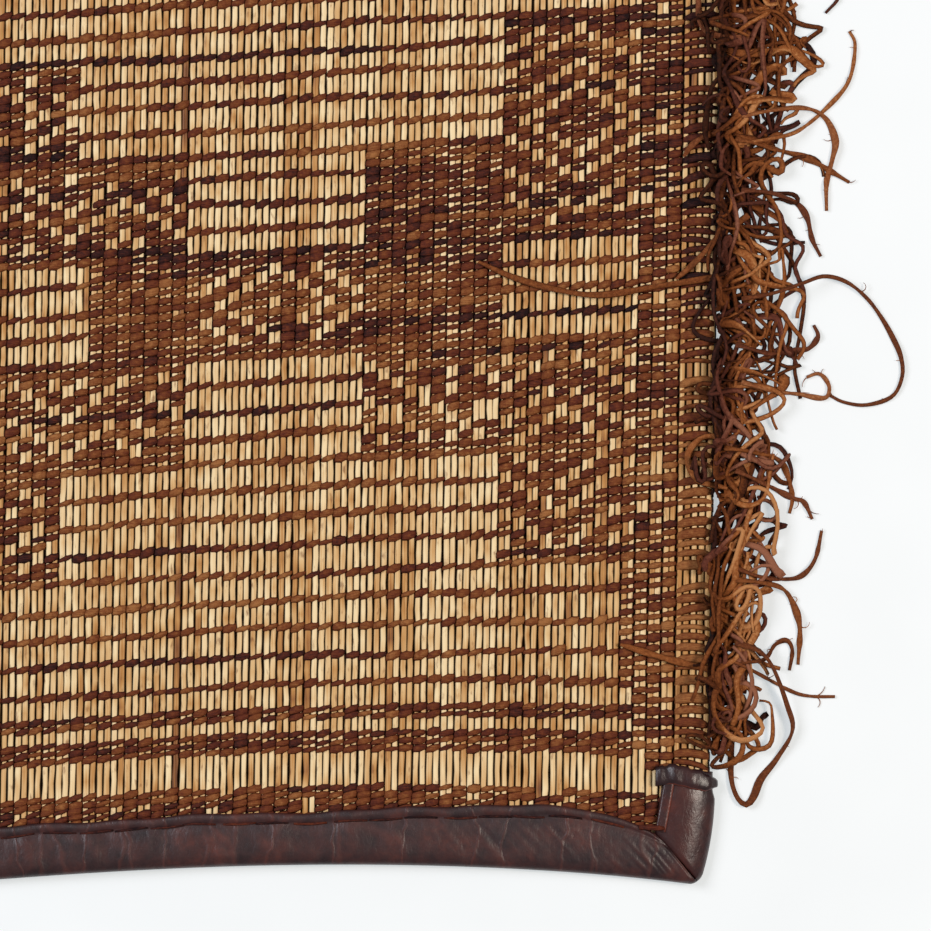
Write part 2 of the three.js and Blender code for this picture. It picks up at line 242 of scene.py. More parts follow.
def lay_stems(name, centres, stations, pinch, swell, age, seed):
    """Stems along the stations, one for each centre. At each station pinch moves a stem sideways and
    swell scales its width. age is how far they have browned."""
    rng = np.random.default_rng(seed)
    count = len(centres)
    bar = drawn_out(STEM_SECTION, len(stations))
    unit = points_of(bar)
    ring = np.rint(unit[:, 1]).astype(int)
    wobble = rng.normal(0, STEM_WOBBLE, (count, len(stations)))
    width = STEM_WIDTH * np.clip(rng.normal(1, 0.085, (count, 1)), 0.8, 1.14)
    width = width * swell * (1 + rng.normal(0, 0.03, (count, len(stations))))
    spread = np.where(unit[:, 2] < 0.9, STEM_WIDTH, width[:, ring])
    top = STEM_TOP + rng.uniform(-0.25, 0.05, (count, 1))
    middle = np.asarray(centres)[:, None] + pinch + wobble
    u = middle[:, ring] + spread * unit[:, 0]
    v = np.broadcast_to(np.asarray(stations)[ring], u.shape)
    z = STEM_BASE + (top - STEM_BASE) * unit[:, 2] + lift(u, v)
    tone = 0.8 * rng.beta(1.6, 3.2, (count, 1)) + rng.normal(age, 0.13, (count, len(stations)))
    crown = np.tile(unit[:, 2], count)
    return joined(name, bar, laid(u, v, z), grass, tone=np.clip(tone, 0, 0.95)[:, ring], crown=crown)


grass = straw()
field_rows = np.array([21.3, *np.arange(20, -19.5, -0.5), -21.3])  # each row, halfway and the ends
field_stations = np.clip(row_at(field_rows), -STEM_END, STEM_END)
stem_number = np.arange(2 * PAIRS)
stem_centre = (stem_number - PAIRS + 0.5) * STEM_PITCH
stem_column = np.abs(stem_number // 2 - PAIRS // 2)[:, None]
drawn_in = np.where(field_rows % 1 == 0, PINCH_AT_ROW, PINCH_BETWEEN)
drawn_in = np.broadcast_to(drawn_in, (2 * PAIRS, len(field_rows)))
for block in MOTIF + BORDER:
    across = (stem_column >= block["from"]) & (stem_column <= block["to"])
    along = (field_rows >= block["top"]) & (field_rows <= block["bottom"])
    drawn_in = np.where(across & along, PINCH_IN_MOTIF, drawn_in)
towards_mate = np.where(stem_number % 2 == 0, 1, -1)[:, None] * drawn_in
swelling = np.where(field_rows % 1 == 0.5, SWELL_BETWEEN, SWELL_AT_ROW)
stems = lay_stems("stems", stem_centre, field_stations, towards_mate, swelling, FIELD_AGE, seed=11)
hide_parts("reed_field")


# Thong rows. Strips of goat leather dyed red-brown and near black, two to a row: they cross between
# the pairs of stems, so each pair has one thong over it and the other under it.
TURN = 6.28  # a whole turn
PLAIN_ROWS = (-15, 16)  # the first and the last, apart from the wide rows
BORDER_REACH = 19  # rows up and down from row 0
STITCH_LENGTH = 5.8
PLAIN_WIDTH = 3.1
WIDE_WIDTH = 2.9
MOTIF_WIDTH = 3.3
BORDER_WIDTH = 3.1
PLAIN_RISE = 1.4  # a stitch climbs to the right over its length
WIDE_RISE = 1.2
MOTIF_RISE = 1.1
BORDER_RISE = 0.5
STITCH_TOP = 4.1
STITCH_SIDE = 2.9
STITCH_END = 2.1  # it dips between the pairs
FINE_ROWS = 3  # in the motif, to one plain row
BORDER_ROWS = 3  # in the border, to one plain row
OPEN_EVERY = 3.5  # fine rows, where the motif is open
CROWDING = 0.2  # the stitches beside an opening are pushed back from it
CLOSED_ANYWAY = 0.12  # of the openings
BORDER_GAPS = 0.06  # of the stitches in the border
BARE_PAIRS = 0.14  # of the stitches in a mixed row
WIDTH_SPREAD = (0.66, 1.28)  # the thongs are cut by eye
# Rows of several thongs near the ends, and how far each thong is from its row
WIDE_ROWS = {
    -19: (-4.6, -2.3, 0, 2.3, 4.6),
    -17: (-2.6, 0, 2.6),
    -16: (-1.3, 1.3),
    17: (-1.3, 1.3),
    18: (-2.6, 0, 2.6),
    20: (-4.6, -2.3, 0, 2.3, 4.6),
}
MIXED_ROWS = (-19, 20)  # these leave a pair bare here and there


def in_border(column, row):
    return any(b["from"] <= column <= b["to"] and b["top"] <= row <= b["bottom"] for b in BORDER)


def is_open(block, column, fine):
    """Whether a stitch is left out in the motif, so that the stems show."""
    top, bottom = FINE_ROWS * block["top"], FINE_ROWS * block["bottom"]
    aside = abs(column - block["middle"])
    if block["figure"] == "solid" or min(fine - top, bottom - fine) < 2:
        return False
    if block["figure"] == "diamonds":
        return (abs(fine - (top + bottom) // 2) + aside) % OPEN_EVERY < 1
    if block["figure"] == "waves":
        return (fine - abs(aside % 8 - 4)) % OPEN_EVERY < 1
    return (fine - column) % OPEN_EVERY < 1 or (fine + column) % (2 * OPEN_EVERY) < 1


def thong_tones(rng, length, low, high):
    """Tones along a row of two thongs, pieced from lengths of leather of nearly one colour."""
    tones = []
    while len(tones) < length:
        run = rng.integers(4, 20)
        tones += (rng.uniform(low, high) + rng.normal(0, 0.1, 2)).tolist() * run
    return np.clip(tones[:length] + rng.normal(0, 0.07, length), 0, 1)


def pad(long_cells, wide_cells):
    """A stitch as a rounded pad one unit long and wide, closed underneath."""
    shape = bmesh.new()
    bmesh.ops.create_grid(shape, x_segments=long_cells, y_segments=wide_cells, size=0.5)
    for vert in shape.verts:
        vert.co.x = 0.5 * math.sin(math.pi * vert.co.x)
        vert.co.y = 0.5 * math.sin(math.pi * vert.co.y)
        vert.co.z = (1 - (2 * vert.co.x) ** 6) * math.sqrt(max(0, 1 - (2 * vert.co.y) ** 2))
    bmesh.ops.edgeloop_fill(shape, edges=[edge for edge in shape.edges if edge.is_boundary])
    bmesh.ops.recalc_face_normals(shape, faces=shape.faces[:])
    return shape


def thong_leather():
    """Thin goat leather, dyed and then worn dull: matt, twisted into fine creases along its length,
    patchy where the dye has rubbed off."""
    finish = bpy.data.materials.new("dyed_goat_leather_thong")
    finish.use_nodes = True
    tree = finish.node_tree
    hide = tree.nodes["Principled BSDF"]
    place = add_node(tree, "TexCoord").outputs["Object"]
    tone = add_node(tree, "Attribute", attribute_name="tone").outputs["Fac"]
    along = {"Vector": place, "Rotation": (0, 0, -0.25), "Scale": (400, 2200, 1500)}
    drawn = add_node(tree, "Mapping", along).outputs["Vector"]
    crease = add_node(tree, "TexNoise", {"Vector": drawn, "Scale": 1, "Detail": 3}).outputs["Fac"]
    rubbing_and_painted_light = {"Vector": place, "Scale": 1 / (2 * MM), "Detail": 6, "Roughness": 0.8}
    patch = add_node(tree, "TexNoise", rubbing_and_painted_light).outputs["Fac"]
    uneven = add_node(tree, "Math", {0: patch, 1: 0.95, 2: tone}, operation="MULTIPLY_ADD").outputs[0]
    lined = add_node(tree, "Math", {0: crease, 1: 0.6, 2: uneven}, operation="MULTIPLY_ADD").outputs[0]
    shade = add_node(tree, "Math", {0: lined, 1: 0.77}, operation="SUBTRACT").outputs[0]
    dyed = add_node(tree, "ValToRGB", {0: shade}, stops=[
        (0, "#1f1315"), (0.2, "#3a1e1b"), (0.45, "#602d1e"), (0.7, "#7a4425"), (1, "#a06a3e"),
    ]).outputs["Color"]
    tree.links.new(dyed, hide.inputs["Base Color"])
    creased = {"Height": crease, "Strength": 0.9, "Distance": 0.5 * MM}
    tree.links.new(add_node(tree, "Bump", creased).outputs["Normal"], hide.inputs["Normal"])
    hide.inputs["Roughness"].default_value = 0.75
    hide.inputs["Specular IOR Level"].default_value = 0.1
    return finish


def stitches(name, shape, table, rng, finish, under=False):
    """Stitches over the pairs of stems, or under them. The table's columns are u, v, width, rise and
    tone."""
    unit = points_of(shape)
    u, v, width, rise, tone = (np.array(column)[:, None] for column in zip(*table))
    count = len(table)
    width = width * rng.uniform(*WIDTH_SPREAD, (count, 1))
    u = u + rng.normal(0, 0.15, (count, 1))
    rise = rise * rng.uniform(0.5, 1.5, (count, 1))
    length = STITCH_LENGTH * rng.uniform(0.95, 1.05, (count, 1))
    top = STITCH_TOP + rng.uniform(-0.3, 0.2, (count, 1))
    across = unit[:, 0]
    waist = 1 - 0.7 * (2 * across) ** 4
    low = STITCH_SIDE - (STITCH_SIDE - STITCH_END) * (2 * across) ** 4
    z = low + (top - low) * unit[:, 2]
    side = 1
    if under:
        side = -1
        z = STEM_TOP + STEM_BASE - z
    stitch_u = u + side * across * length
    stitch_v = v + unit[:, 1] * width * waist + across * rise + rng.normal(0, 0.16, (count, 1))
    places = laid(stitch_u, stitch_v, np.maximum(z, 0.02) + lift(stitch_u, stitch_v))
    worn = 0.12 - 0.3 * (2 * across) ** 4 - 0.16 * (2 * unit[:, 1]) ** 2  # painted highlight on top, painted shade at the ends and along the long edges
    return joined(name, shape, places, finish, tone=np.maximum(tone + worn, 0))


rng = np.random.default_rng(23)
columns = np.arange(-(PAIRS // 2), PAIRS // 2 + 1)
shut = {}
for block in MOTIF:
    for fine in range(FINE_ROWS * block["top"], FINE_ROWS * block["bottom"] + 1):
        for column in range(block["from"], block["to"] + 1):
            left_out = is_open(block, column, fine) and rng.random() > CLOSED_ANYWAY
            shut[column, fine] = shut.get((column, fine), False) or not left_out
plain_table = []
motif_table = []
border_table = []
for fine in range(PLAIN_ROWS[0] * FINE_ROWS, PLAIN_ROWS[1] * FINE_ROWS + 1):
    row = fine / FINE_ROWS
    v = float(row_at(row))
    down = (row - PLAIN_ROWS[0]) / (PLAIN_ROWS[1] - PLAIN_ROWS[0])  # black thongs are commoner higher up
    tones = thong_tones(rng, PAIRS, 0.14 + 0.28 * down, 0.66 + 0.1 * down)
    phase = rng.uniform(0, TURN, 2)
    for column, tone in zip(columns, tones):
        aside = abs(column)
        u = PAIR_PITCH * column
        if shut.get((aside, fine)):
            pushed = (not shut.get((aside, fine + 1), True)) - (not shut.get((aside, fine - 1), True))
            motif_table.append((u, v + CROWDING * pushed, MOTIF_WIDTH, MOTIF_RISE, tone))
        elif (aside, fine) not in shut and fine % FINE_ROWS == 0 and not in_border(aside, row):
            sway = 0.6 * math.sin(u / 38 + phase[0]) + 0.35 * math.sin(u / 12 + phase[1])
            plain_table.append((u, v + sway, PLAIN_WIDTH, PLAIN_RISE, tone))
moved = rng.uniform(-0.15, 0.15, PAIRS)  # the border's columns keep no line with each other
for number in range(-BORDER_REACH * BORDER_ROWS, BORDER_REACH * BORDER_ROWS + 1):
    row = number / BORDER_ROWS
    down = (row + BORDER_REACH) / (2 * BORDER_REACH)
    tones = thong_tones(rng, PAIRS, 0.46 * down, 0.36 + 0.5 * down)
    for column, tone in zip(columns, tones):
        if in_border(abs(column), row) and rng.random() > BORDER_GAPS:
            v = float(row_at(row + moved[column])) + rng.normal(0, 0.25)
            border_table.append((PAIR_PITCH * column, v, BORDER_WIDTH, BORDER_RISE, tone))
for row, offsets in WIDE_ROWS.items():
    for offset in offsets:
        tones = thong_tones(rng, PAIRS, 0.36, 0.62)
        for column, tone in zip(columns, tones):
            bare = row in MIXED_ROWS and rng.random() < BARE_PAIRS and abs(column) < BORDER[0]["from"]
            if not bare and not in_border(abs(column), row):
                v = float(row_at(row)) - offset + rng.normal(0, 0.2)
                border_table.append((PAIR_PITCH * column, v, WIDE_WIDTH, WIDE_RISE, tone))

dyed_leather = thong_leather()
plain_rows = stitches("thong_rows", pad(4, 3), plain_table, rng, dyed_leather)
motif_rows = stitches("thong_motif", pad(4, 3), motif_table, rng, dyed_leather)
border_rows = stitches("thong_border", pad(4, 3), border_table, rng, dyed_leather)
below_table = plain_table + motif_table + border_table
below_rows = stitches("thongs_underneath", pad(2, 2), below_table, rng, dyed_leather, under=True)


# Selvedges. Five stems down each side are bound into a flat bundle by the row thongs, which wrap round
# it, lie close in groups, and leave the stems bare for a finger's width here and there.
BUNDLE_STEMS = 5
BUNDLE_PITCH = 2.5
BUNDLE_MIDDLE = 248.8
BUNDLE_END = 184
WRAP_LENGTH = 13.4
WRAP_SAG = 0.9  # a wrap's ends hang below its middle
WRAP_DIP = 2.2  # and go down round the bundle
BUNDLE_AGE = 0.26
WRAP_REACH = 171  # the wraps stop under the leather corners
selvedges = {}
for side, sign, seed in (("right", 1, 31), ("left", -1, 32)):
    rng = np.random.default_rng(seed)
    centres = sign * (BUNDLE_MIDDLE + BUNDLE_PITCH * (np.arange(BUNDLE_STEMS) - 2))
    bundle_stations = np.linspace(-BUNDLE_END, BUNDLE_END, 45)
    bundle = lay_stems(f"selvedge_stems_{side}", centres, bundle_stations, 0, 1, BUNDLE_AGE, seed)
    wraps = []
    v = -WRAP_REACH
    left_in_group = 9
    while v < WRAP_REACH:
        tone = 0.3 + 0.52 * ramp(-sign * v, 10, 50) + rng.uniform(-0.28, 0.22)
        width = rng.uniform(1.6, 3.8)
        wraps.append((v, width, tone))
        v += 1.4 + 0.62 * width + rng.uniform(0, 0.5)
        left_in_group -= 1
        if left_in_group == 0:
            v += rng.uniform(1.2, 4)
            left_in_group = rng.integers(4, 12)
    shape = pad(6, 3)
    unit = points_of(shape)
    wrap_v, width, tone = (np.array(column)[:, None] for column in zip(*wraps))
    u = sign * BUNDLE_MIDDLE + unit[:, 0] * WRAP_LENGTH
    v = wrap_v + unit[:, 1] * width + 0.9 * rng.normal(0, 1, wrap_v.shape) * unit[:, 0]
    v = v - sign * WRAP_SAG * (2 * unit[:, 0]) ** 2
    low = STITCH_SIDE - WRAP_DIP * (2 * unit[:, 0]) ** 6
    z = low + (STITCH_TOP + 0.1 - low) * unit[:, 2]
    places = laid(u, v, z + lift(u, v))
    wrapping = joined(f"selvedge_wraps_{side}", shape, places, dyed_leather, tone=tone)
    for piece in (bundle, wrapping):
        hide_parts(f"fringe_{side}")
    selvedges[side] = [bundle, wrapping]


# Fringe. The loose ends of the row thongs, left hanging past the selvedge: narrow suede strips that
# have dried twisted and curled, and lie on each other in a heap along the mat's side.
FRINGE_ROOT = 254.3
FRINGE_REACH = 160
FRINGE_COUNT = 335
FRINGE_RINGS = 30
STRAY_RINGS = 64
FRAYS = 4  # torn fibres on a stray end
FRAY_RINGS = 6
HEAP = 5.5  # the heap's height beside the selvedge
HEAP_LOWEST = 1.2  # and at its rim
STRAND_REST = 0.5  # the middle of a strand on the floor
OVER_SELVEDGE = 4.3  # and how much higher it lies on the selvedge
HEAP_WIDTH = 27  # at the bottom
HEAP_WIDER = 12  # towards the top
OVERLAP = 12  # a few ends curl back over the selvedge
FRINGE_END = 166  # the ends near the corner turn back before they reach its leather
STRAND_SECTION = [(0.5, 0), (0.28, 0.5), (-0.28, 0.5), (-0.5, 0), (-0.28, -0.5), (0.28, -0.5)]
# Long ends that stray from the heap, as they lie on the floor in millimetres from the mat's middle
STRAYS = [
    {"width": 1.5, "way": [(262, 56), (274, 58), (284, 61), (295, 70), (302, 79), (304, 91), (302, 96)]},
    {"width": 2.2, "way": [(264, 66), (284, 69), (293, 66), (297, 58), (296, 51), (294, 43), (294, 33)]},
    {"width": 2.3, "way": [(262, 58), (278, 54), (288, 51), (302, 43)]},
    {"width": 2.0, "way": [(264, 40), (275, 39), (283, 36), (287, 31), (289, 23), (292, 17)]},
    {"width": 1.6, "way": [
        (264, 2), (275, 4), (285, 7.4), (293, 10), (301, 8), (308, 2.5), (313, -4), (317, -11), (320, -18),
        (320.5, -25), (317, -32), (308, -35), (300, -34), (295, -31.5),
    ]},
    {"width": 1.7, "way": [
        (264, -27), (274, -30), (284, -31.2), (293, -32.6), (295, -29.5), (293.7, -26), (291, -24),
        (287, -25.3),
    ]},
    {"width": 2.2, "way": [(262, -14), (274, -17), (284, -16), (288, -15), (291, -11), (289.5, -7)]},
    {"width": 2.0, "way": [(258, -50), (271, -52), (278, -55), (281, -62), (282, -68), (281, -73)]},
    {"width": 2.0, "way": [(262, -58), (273, -63), (282, -67.6), (286, -69), (289, -75)]},
    {"width": 1.7, "way": [(262, -92), (270, -95), (278, -96), (285, -95), (290, -89), (292.3, -79)]},
    {"width": 2.2, "way": [(262, -96), (270, -97), (278, -99), (282, -104), (284.6, -113), (284, -126)]},
    {"width": 1.6, "way": [(264, -125), (272, -124), (276, -119), (280, -117.5), (282, -121), (281, -128)]},
    {"width": 1.2, "way": [(260, -124), (268, -128), (281, -135), (288, -137), (297, -137.2)]},
    {"width": 2.3, "way": [
        (262, -118), (270, -121), (275, -127), (280, -140), (282, -149), (276.5, -159), (271, -166),
        (268.5, -172), (266, -175), (263, -173), (260.8, -167), (260.5, -158), (262, -148), (264, -142),
    ]},
]
# Long ends thrown back over the face of the mat, given in the mat's straight layout
THROWN_BACK = [
    [(256, -5), (247, -6), (236, -7), (215, -9), (200, -6.4), (184, -1), (171.7, 5.1)],
    [(258, -136), (246, -134), (234, -131), (223.4, -128)],
    [(262, 47), (254, 46), (247, 43), (243, 38)],
    [(266, 16), (255, 8), (247, 0), (241, -5)],
    [(266, 80), (257, 80), (249, 84), (247, 96)],
    [(262, -62), (252, -60), (246, -66), (249, -74), (260, -78)],
]


def smooth_line(points, count):
    """Points evenly along a smooth line through the given ones."""
    points = np.array(points, dtype=float)
    ends = np.vstack([2 * points[0] - points[1], points, 2 * points[-1] - points[-2]])
    spans = len(points) - 1
    place = np.linspace(0, spans - 1e-6, 12 * spans)
    n = place.astype(int)
    t = (place - n)[:, None]
    p0, p1, p2, p3 = (ends[n + k] for k in range(4))
    fine = 0.5 * (2 * p1 + (p2 - p0) * t + (2 * p0 - 5 * p1 + 4 * p2 - p3) * t ** 2
                  + (3 * p1 - p0 - 3 * p2 + p3) * t ** 3)
    far = np.concatenate([[0], np.cumsum(np.linalg.norm(np.diff(fine, axis=0), axis=1))])
    even = np.linspace(0, far[-1], count)
    return np.stack([np.interp(even, far, fine[:, k]) for k in range(fine.shape[1])], axis=1)


def folded(value, low, high):
    """A line that turns back each time it meets low or high."""
    span = high - low
    return high - np.abs((value - low) % (2 * span) - span)


def curled(rng, root):
    """The way of one end in the heap: out from the selvedge, then down along it in loose curls, and
    back again where the heap stops."""
    t = np.linspace(0, 1, FRINGE_RINGS)
    angle = rng.uniform(-1.2, 0.6) + rng.normal(-0.9, 0.5) * ramp(t, 0.05, 0.5)
    for waves, size in ((0.8, 0.9), (2.0, 0.75), (4.5, 0.5)):
        wave = TURN * waves * rng.uniform(0.6, 1.4) * t + rng.uniform(0, TURN)
        angle = angle + rng.normal(0, size) * (np.sin(wave) - np.sin(wave[0]))
    if rng.random() < 0.3:
        start = rng.uniform(0.2, 0.7)
        angle = angle + rng.choice([-TURN, TURN]) * ramp(t, start, start + 0.3)
    step = rng.uniform(40, 95) / (FRINGE_RINGS - 1)
    room = (HEAP_WIDTH + HEAP_WIDER * ramp(root, -90, 150)) * rng.uniform(0.45, 1.15)
    out = folded(np.cumsum(step * np.cos(angle)), -OVERLAP * rng.random() ** 5, room)
    end = FRINGE_END - rng.uniform(0, 12)
    along = folded(root + np.cumsum(step * np.sin(angle)), -end, end)
    way = np.stack([FRINGE_ROOT + out, along], axis=1)
    for _ in range(4):
        way[1:-1] = (way[:-2] + 2 * way[1:-1] + way[2:]) / 4
    return way


def strip_points(unit, way, height, width, thick, twist):
    """The points of a twisted strip along its way. width and twist have a value for each ring."""
    line = np.column_stack([way, height])
    ahead = np.gradient(line, axis=0)
    ahead /= np.linalg.norm(ahead, axis=1)[:, None]
    aside = np.cross(ahead, (0, 0, 1))
    aside /= np.linalg.norm(aside, axis=1)[:, None]
    above = np.cross(aside, ahead)
    flat = np.cos(twist)[:, None] * aside + np.sin(twist)[:, None] * above
    face = np.cos(twist)[:, None] * above - np.sin(twist)[:, None] * aside
    ring = np.rint(unit[:, 1]).astype(int)
    points = line[ring] + flat[ring] * (unit[:, 0] * width[ring])[:, None]
    points += face[ring] * (unit[:, 2] * thick)[:, None]
    points[:, 2] = np.maximum(points[:, 2], 0.03)
    return points


def fringe_leather():
    """Suede thong, sun-browned and without shine: dry orange-brown nap with harder edges, and
    purple-brown on the strips cut from dyed skin. The tone it reads carries painted light: a painted
    highlight along a strip's upper side, and painted shade on its underside, low in the heap and near
    the selvedge."""
    finish = bpy.data.materials.new("dry_suede_thong")
    finish.use_nodes = True
    tree = finish.node_tree
    hide = tree.nodes["Principled BSDF"]
    place = add_node(tree, "TexCoord").outputs["Object"]
    tone = add_node(tree, "Attribute", attribute_name="tone").outputs["Fac"]
    dyed = add_node(tree, "Attribute", attribute_name="dyed").outputs["Fac"]
    fuzz = {"Vector": place, "Scale": 1 / (1.1 * MM), "Detail": 6, "Roughness": 0.7}
    nap = add_node(tree, "TexNoise", fuzz).outputs["Fac"]
    varied = add_node(tree, "Math", {0: nap, 1: 0.9, 2: -0.45}, operation="MULTIPLY_ADD").outputs[0]
    shade = add_node(tree, "Math", {0: tone, 1: varied}, operation="ADD").outputs[0]
    brown = add_node(tree, "ValToRGB", {0: shade}, stops=[
        (0, "#150804"), (0.28, "#3f1c0b"), (0.52, "#6d3918"), (0.78, "#95572b"), (1, "#bd8352"),
    ]).outputs["Color"]
    purple = add_node(tree, "ValToRGB", {0: shade}, stops=[
        (0, "#140908"), (0.3, "#3b1d15"), (0.6, "#633324"), (1, "#945f46"),
    ]).outputs["Color"]
    mixed = add_node(tree, "Mix", {0: dyed, 6: brown, 7: purple}, data_type="RGBA").outputs[2]
    tree.links.new(mixed, hide.inputs["Base Color"])
    rough = {"Height": nap, "Strength": 0.9, "Distance": 0.5 * MM}
    tree.links.new(add_node(tree, "Bump", rough).outputs["Normal"], hide.inputs["Normal"])
    hide.inputs["Roughness"].default_value = 0.8
    hide.inputs["Specular IOR Level"].default_value = 0.15
    return finish


suede = fringe_leather()
strand_bar = drawn_out(STRAND_SECTION, FRINGE_RINGS)
strand_unit = points_of(strand_bar)
stray_bar = drawn_out(STRAND_SECTION, STRAY_RINGS)
stray_unit = points_of(stray_bar)
fray_bar = drawn_out(STRAND_SECTION, FRAY_RINGS)
fray_unit = points_of(fray_bar)
fringes = []
for side, sign, seed in (("right", 1, 41), ("left", -1, 42)):
    rng = np.random.default_rng(seed)
    t = np.linspace(0, 1, FRINGE_RINGS)
    strands = []
    tones = []
    dyes = []
    for number in range(FRINGE_COUNT):
        share = (number + rng.random()) / FRINGE_COUNT
        root = FRINGE_REACH * (1 - 2 * share * (0.45 + 0.55 * share))  # sparser towards the bottom
        way = curled(rng, root)
        out = way[:, 0] - FRINGE_ROOT
        layer = rng.random()
        heap = HEAP * (1 - ramp(out, 8, HEAP_WIDTH + HEAP_WIDER)) + HEAP_LOWEST
        rest = STRAND_REST + OVER_SELVEDGE * (1 - ramp(out, 0.5, 5))
        height = rest + heap * layer * (0.8 + 0.3 * np.sin(8 * t + rng.uniform(0, 6)))
        start = rng.uniform(1.5, 4)
        height = start + (height - start) * ramp(t, 0, 0.16)
        width, thick = (3, 0.7) if rng.random() < 0.12 else rng.uniform((1.4, 1.0), (2.4, 1.5))
        width = width * (1 - 0.5 * ramp(t, 0.75, 1)) * (1 + 0.18 * np.sin(13 * t + number))
        twist = rng.uniform(0, 6) + rng.normal(0, 2.5) * t + rng.normal(0, 0.5) * np.sin(9 * t)
        height = np.maximum(height, 0.1 + np.abs(np.sin(twist)) * width / 2)
        strands.append(strip_points(strand_unit, way, height, width, thick, twist))
        ring = np.rint(strand_unit[:, 1]).astype(int)
        above = strands[-1][:, 2] - height[ring]
        # Painted light: a painted highlight on a strip's upper side and painted shade on its underside.
        rubbing_and_painted_light = 0.2 * ramp(above, 0, 0.7) - 0.2 * ramp(-above, 0, 0.5)
        light = 0.06 + 0.18 * ramp(-root, -20, 120)
        # Painted shade: the lower a strand lies in the heap, the darker its tone, and each strand darkens
        # towards the selvedge where it leaves the heap.
        tone = np.clip(light + 0.66 * layer ** 1.4 + rng.normal(0, 0.13), 0.02, 0.95)
        tones.append((tone + rubbing_and_painted_light) * (0.5 + 0.5 * ramp(out, 0, 12)[ring]))
        dyes.append(float(rng.random() < 0.3))
    strands = np.array(strands)
    places = laid(sign * strands[..., 0], sign * strands[..., 1], strands[..., 2])
    heap = joined(f"fringe_{side}_heap", strand_bar, places, suede, tone=np.array(tones), dyed=dyes)

    t = np.linspace(0, 1, STRAY_RINGS)
    fray_t = np.linspace(0, 1, FRAY_RINGS)
    strands = []
    frays = []
    for stray in STRAYS:
        way = smooth_line(stray["way"], STRAY_RINGS)
        width = 1.15 * stray["width"] * (1 - 0.6 * ramp(t, 0.75, 1)) * (1 + 0.18 * np.sin(23 * t))
        twist = 0.4 + 3.5 * t + 0.6 * np.sin(15 * t)
        height = 0.3 + np.abs(np.sin(twist)) * width / 2 + 6 * (1 - ramp(t, 0.1, 0.45))
        strands.append(strip_points(stray_unit, way, height, width, 1.1, twist) * (sign, sign, 1))
        for n in rng.integers(STRAY_RINGS // 3, STRAY_RINGS - 1, FRAYS):
            ahead = way[n + 1] - way[n]
            angle = math.atan2(ahead[1], ahead[0]) + rng.choice([-1, 1]) * rng.uniform(0.1, 0.4)
            angle = angle + rng.normal(0, 1.8) * fray_t
            step = rng.uniform(2, 5.5) / FRAY_RINGS
            fibre = way[n] + step * np.cumsum(np.stack([np.cos(angle), np.sin(angle)], axis=1), axis=0)
            level = np.full(FRAY_RINGS, height[n])
            frays.append(strip_points(fray_unit, fibre, level, 0.45 - 0.3 * fray_t, 0.35, 0 * fray_t))
    for points in THROWN_BACK:
        way = smooth_line(points, STRAY_RINGS)
        width = 2.3 * (1 - 0.5 * ramp(t, 0.9, 1)) * (1 + 0.15 * np.sin(19 * t))
        height = 4.8 + 0.3 * np.sin(14 * t)
        u, v, z = strip_points(stray_unit, way, height, width, 0.8, 0.5 * np.sin(7 * t)).T
        strands.append(laid(sign * u, sign * v, z))
    tones = rng.uniform(0.5, 0.85, len(strands))
    dyes = rng.uniform(0, 0.7, len(strands))
    loose = joined(f"fringe_{side}_strays", stray_bar, np.array(strands), suede, tone=tones, dyed=dyes)
    places = np.array(frays) * (sign, sign, 1)
    tones = rng.uniform(0.5, 0.85, len(frays))
    torn = joined(f"fringe_{side}_frays", fray_bar, places, suede, tone=tones)
    for piece in (heap, loose, torn):
        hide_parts(f"fringe_{side}")
        fringes.append(piece)


# End strips. Dark goatskin folded over the cut ends of the stems and sewn through along its inner
# edge, which is turned under. It puckers where it was pulled tight, so creases cross it.
EDGE_TOP = 5.5  # underside of the upper flap
END_DEPTH = 15  # at the mitre
FLAP_REACH = 3.2
FLAP_WIDER = 3.2  # towards the corners
CORNER_DEPTH = 20.8
STRIP_RINGS = 400
STRIP_SECTION = [
    (15, 0), (8, 0), (2.4, 0), (0.9, 0.6), (0.2, 1.9), (0, 3.25), (0.2, 4.6), (0.9, 5.9), (2.4, 6.6),
    (4.5, 6.9), (6.8, 6.95), (9, 6.8), (10.6, 6.5), (11.5, 6.1), (12.2, 6.5), (13.2, 6.7), (14.4, 6.6),
    (15.1, 6.1), (15, 5.6), (10, 5.5), (2.6, 5.5), (1.3, 4.6), (1, 3.25), (1.3, 1.9), (2.6, 1), (10, 1),
    (15, 0.9),
]


def flap_reach(along):
    """How far the upper flap reaches in past the depth of the mitre, in millimetres."""
    aside = np.abs(along)
    reach = FLAP_REACH + FLAP_WIDER * ramp(aside, 0.5, 0.85) + 0.35 * np.sin(23 * along)
    return (reach + 0.25 * np.sin(57 * along + 2)) * (1 - aside ** 30)


